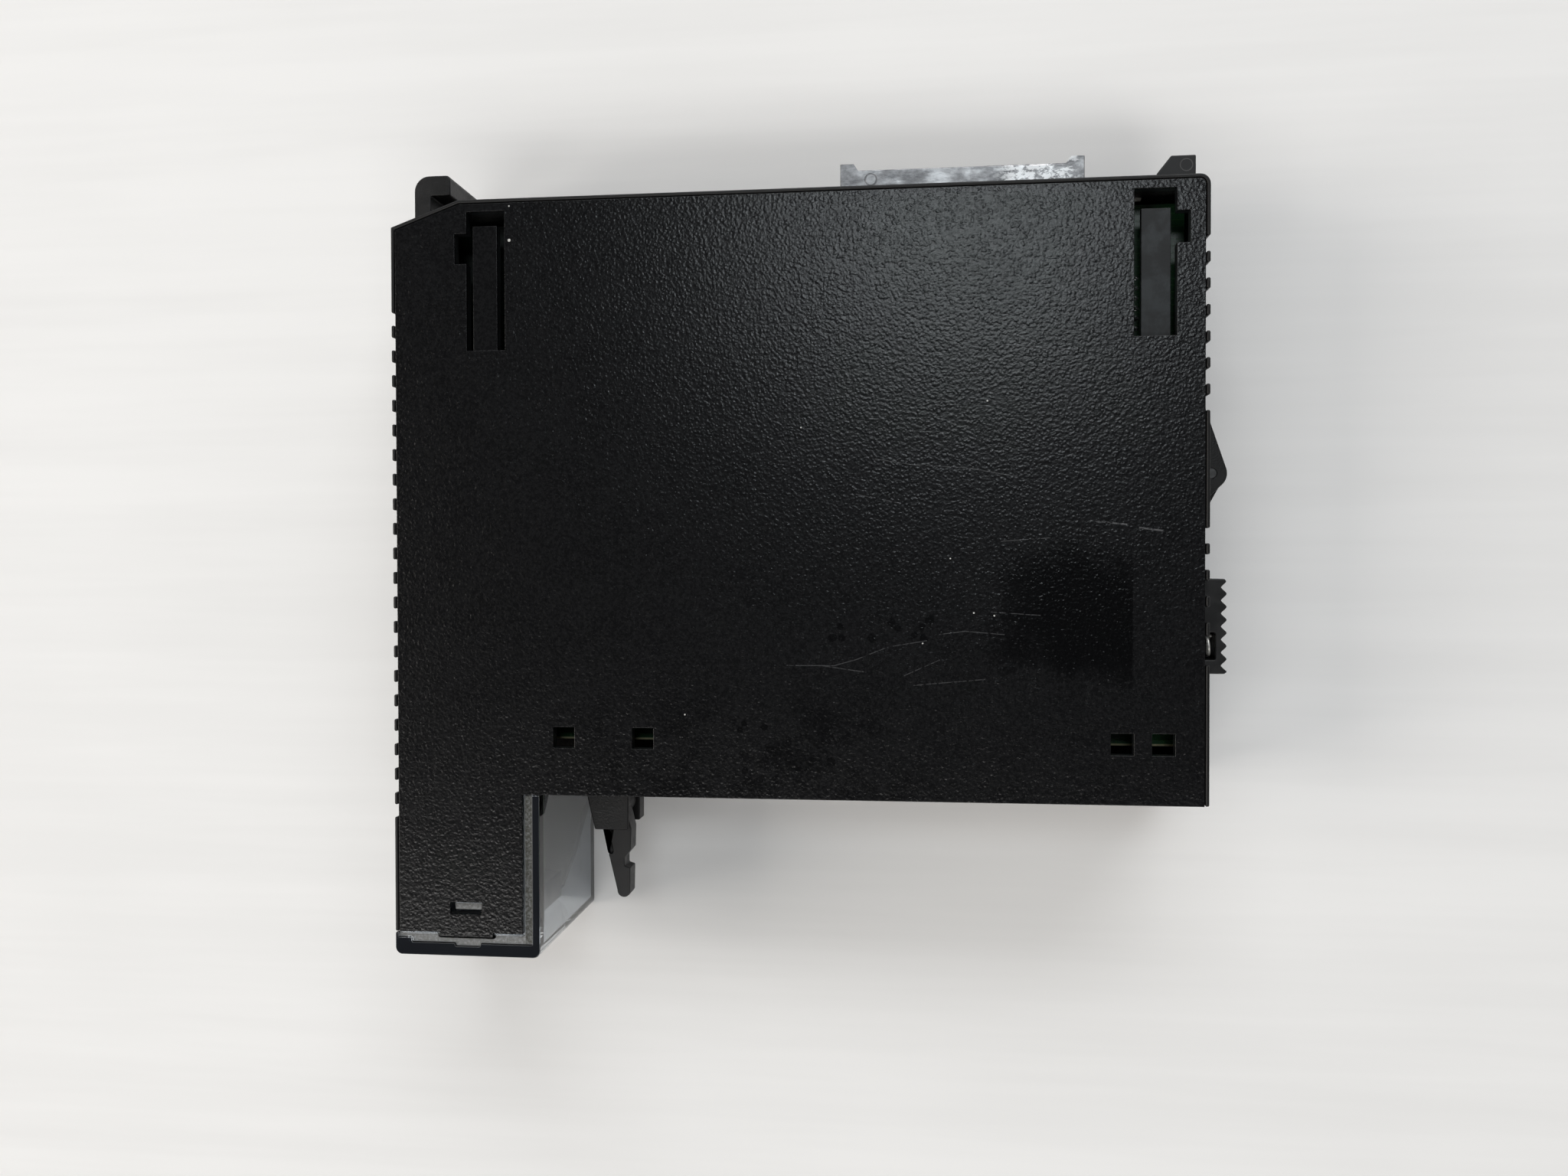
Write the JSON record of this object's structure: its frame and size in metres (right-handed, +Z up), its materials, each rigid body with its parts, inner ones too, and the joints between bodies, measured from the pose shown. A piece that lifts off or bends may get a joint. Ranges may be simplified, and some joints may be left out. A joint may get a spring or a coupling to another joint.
{
  "type": "plc i/o module",
  "caption": "Rack-mounted controller input module on its side: black ribbed case, clear status cover, rear hook, release lever, backplane connector and front terminal socket.",
  "frame": {"origin": "centre of the main body's lower side face, the face the module lies on", "axes": "+X towards the module's bottom end with the release lever, +Y towards the rear that plugs into the rack, +Z up out of the visible side cover"},
  "size_m": [0.1352, 0.1299, 0.034],
  "materials": {
    "black_plastic": "spark-eroded leather grain, slightly worn",
    "dark_plastic": "plain satin moulding",
    "clear_plastic": "clear, faintly smoky, glossy",
    "led_epoxy": "tinted translucent epoxy",
    "board_laminate": "solder mask over glass laminate",
    "connector_metal": "dull streaked tin plate",
    "contact_gold": "thin gold plating",
    "steel": "bright drawn wire",
    "chip_epoxy": "moulded epoxy",
    "resistor_coat": "lacquered ceramic",
    "capacitor_sleeve": "heat-shrink sleeve",
    "capacitor_epoxy": "dipped epoxy",
    "network_coat": "dipped epoxy"
  },
  "bodies": {
    "housing": {"case": "black_plastic", "side_cover": "black_plastic", "lens_cover": "clear_plastic", "led_holder": "dark_plastic", "status_leds": "led_epoxy", "main_board": "board_laminate", "connector_shell": "connector_metal", "connector_insulator": "dark_plastic", "connector_contacts": "contact_gold", "terminal_header": "dark_plastic", "terminal_pins": "contact_gold", "jack_lever_pin": "steel", "release_lever_pin": "steel", "release_spring": "steel", "optocouplers": "chip_epoxy", "input_resistors": "resistor_coat", "filter_capacitors": "capacitor_sleeve", "bus_chips": "chip_epoxy", "bypass_capacitors": "capacitor_epoxy", "resistor_networks": "network_coat"},
    "release_lever": {"release_lever": "dark_plastic"},
    "jack_lever": {"jack_lever": "dark_plastic"}
  },
  "joints": [
    {"name": "release_lever_press", "type": "hinge", "parent": "housing", "child": "release_lever", "pos_m": [0.0672, 0.0034, 0.017], "axis": [0, 0, -1], "range_deg": [0, 4], "stiffness_Nm_per_rad": 2, "springref_deg": -1.72, "deforming": ["release_spring"]},
    {"name": "jack_lever_swing", "type": "hinge", "parent": "housing", "child": "jack_lever", "pos_m": [-0.0312, -0.0523, 0.017], "axis": [0, 0, -1], "range_deg": [0, 28]}
  ]
}
